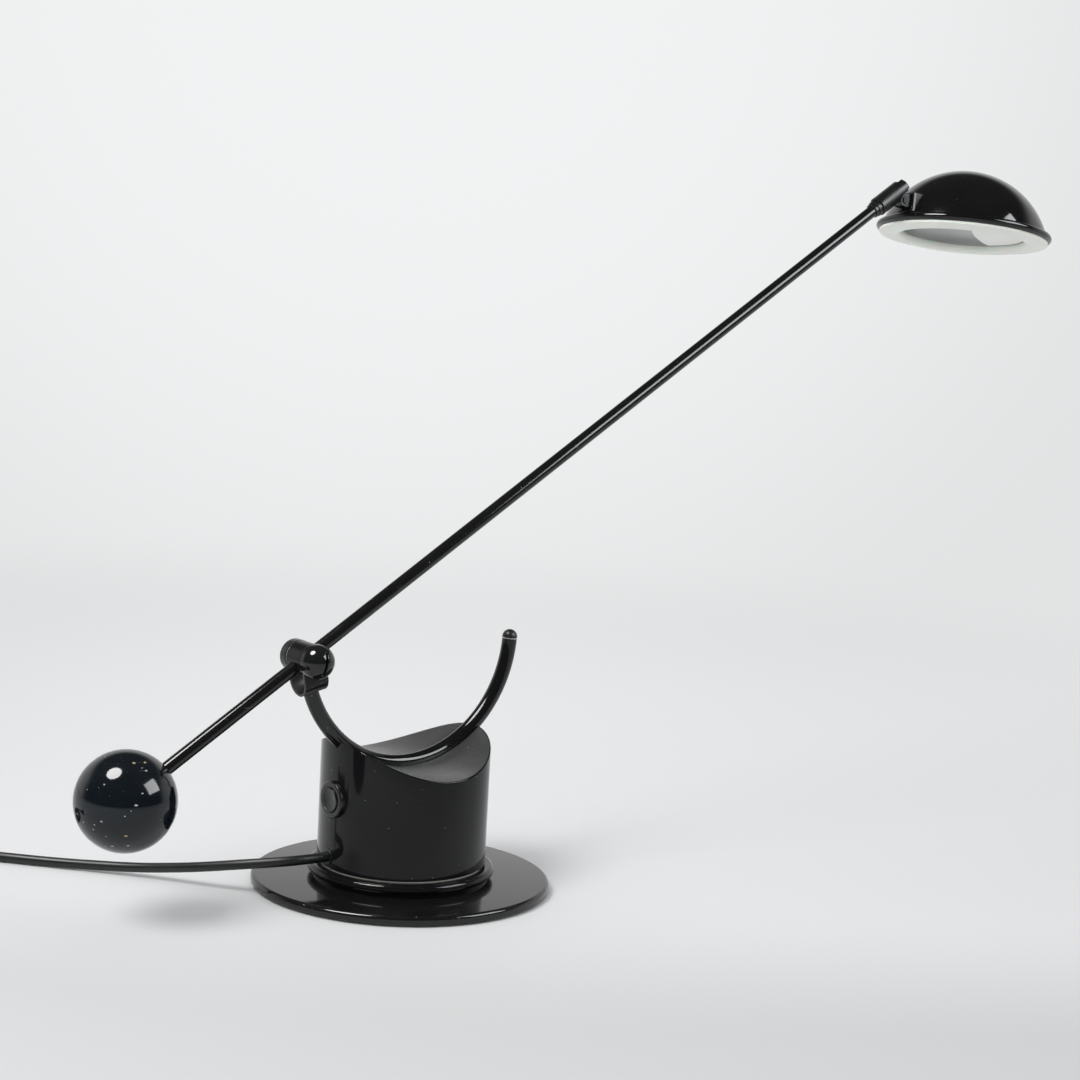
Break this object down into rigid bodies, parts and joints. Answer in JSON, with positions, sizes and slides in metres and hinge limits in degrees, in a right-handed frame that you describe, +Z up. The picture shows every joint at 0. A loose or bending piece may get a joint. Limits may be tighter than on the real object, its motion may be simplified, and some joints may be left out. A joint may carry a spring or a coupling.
{
  "type": "desk lamp",
  "caption": "Balance desk lamp: a straight arm with a ball weight pivots on an arc that slides in a drum with a saddle top, over a round base; small domed head.",
  "frame": {"origin": "centre of the foot pad's underside, on the drum's turning axis", "axes": "+Z up the drum's axis; +X towards the head, in the plane of the arc and the arm; the tension knob faces -Y"},
  "size_m": [0.8972, 0.3032, 0.453],
  "materials": {
    "black_enamel": "gloss black paint, chipped and dusty at its edges",
    "shade_enamel": "gloss black paint on spun aluminium",
    "black_plastic": "satin black moulded plastic",
    "foot_rubber": "black sheet",
    "cap_rubber": "matt dark grey",
    "cord_rubber": "satin black cord jacket",
    "nylon": "natural nylon",
    "zinc_steel": "zinc plate",
    "dark_steel": "blackened",
    "core_steel": "varnished laminations",
    "copper_winding": "enamelled wire under tape",
    "cream_plastic": "cream moulding, a little yellowed",
    "reflector_aluminium": "satin anodised",
    "bulb_glass": "clear glass capsule",
    "plug_brass": "nickelled brass"
  },
  "bodies": {
    "base": {"foot_pad": "foot_rubber", "base_plate": "black_enamel", "base_collar": "black_plastic", "collar_screws": "zinc_steel", "slide_ring": "nylon", "swivel_nipple": "zinc_steel", "swivel_nuts": "zinc_steel", "swivel_washer": "zinc_steel"},
    "drum": {"drum_shell": "black_enamel", "drum_floor": "dark_steel", "floor_screws": "zinc_steel", "slide_pad": "nylon", "clamp_stud": "zinc_steel", "clamp_washers": "zinc_steel", "clamp_nut": "zinc_steel", "transformer_cradle": "zinc_steel", "transformer_core": "core_steel", "transformer_coil": "copper_winding", "terminal_block": "cream_plastic", "switch_bezel": "black_plastic", "switch_body": "cream_plastic", "grommet": "cord_rubber", "mains_cord": "cord_rubber", "cord_coil": "cord_rubber", "plug_lead": "cord_rubber", "plug_body": "cord_rubber", "plug_pins": "plug_brass"},
    "button": {"switch_button": "black_plastic"},
    "arc": {"yoke": "black_enamel", "arc_tube": "black_enamel", "end_cap": "cap_rubber", "friction_washers": "nylon", "spring_washer": "dark_steel"},
    "arm": {"pivot_barrel": "black_enamel", "set_screw": "dark_steel", "rear_cap": "black_plastic", "arm_tube": "black_enamel", "ball": "black_enamel", "ball_stud": "zinc_steel", "stop_ring": "black_plastic"},
    "knob": {"tension_knob": "black_plastic"},
    "sleeve": {"head_sleeve": "black_plastic"},
    "head": {"head_pin": "dark_steel", "shade": "shade_enamel", "head_bracket": "black_plastic", "bracket_rivets": "zinc_steel", "underside_ring": "cream_plastic", "reflector": "reflector_aluminium", "lamp_holder": "cream_plastic", "bulb": "bulb_glass"}
  },
  "joints": [
    {"name": "drum_turn", "type": "hinge", "parent": "base", "child": "drum", "pos_m": [0, 0, 0.016], "axis": [0, 0, 1], "range_deg": [-150, 150]},
    {"name": "switch_press", "type": "slide", "parent": "drum", "child": "button", "axis": [1, 0, 0], "range_m": [0, 0.002], "stiffness_N_per_m": 400},
    {"name": "arc_slide", "type": "hinge", "parent": "drum", "child": "arc", "pos_m": [0, 0, 0.1519], "axis": [0, -1, 0], "range_deg": [-36, 14]},
    {"name": "arm_tilt", "type": "hinge", "parent": "arc", "child": "arm", "pos_m": [-0.07485, 0, 0.1458], "axis": [0, 1, 0], "range_deg": [-25, 27]},
    {"name": "knob_turn", "type": "hinge", "parent": "arm", "child": "knob", "pos_m": [-0.07485, 0, 0.1458], "axis": [0, 1, 0], "continuous": true},
    {"name": "head_turn", "type": "hinge", "parent": "arm", "child": "sleeve", "pos_m": [0.38404, 0, 0.43044], "axis": [0.8498, 0, 0.5271], "range_deg": [-82, 97]},
    {"name": "head_tilt", "type": "hinge", "parent": "sleeve", "child": "head", "pos_m": [0.39662, -0.00089, 0.43007], "axis": [0.0667, 0.992, -0.1075], "range_deg": [-30, 30]}
  ]
}
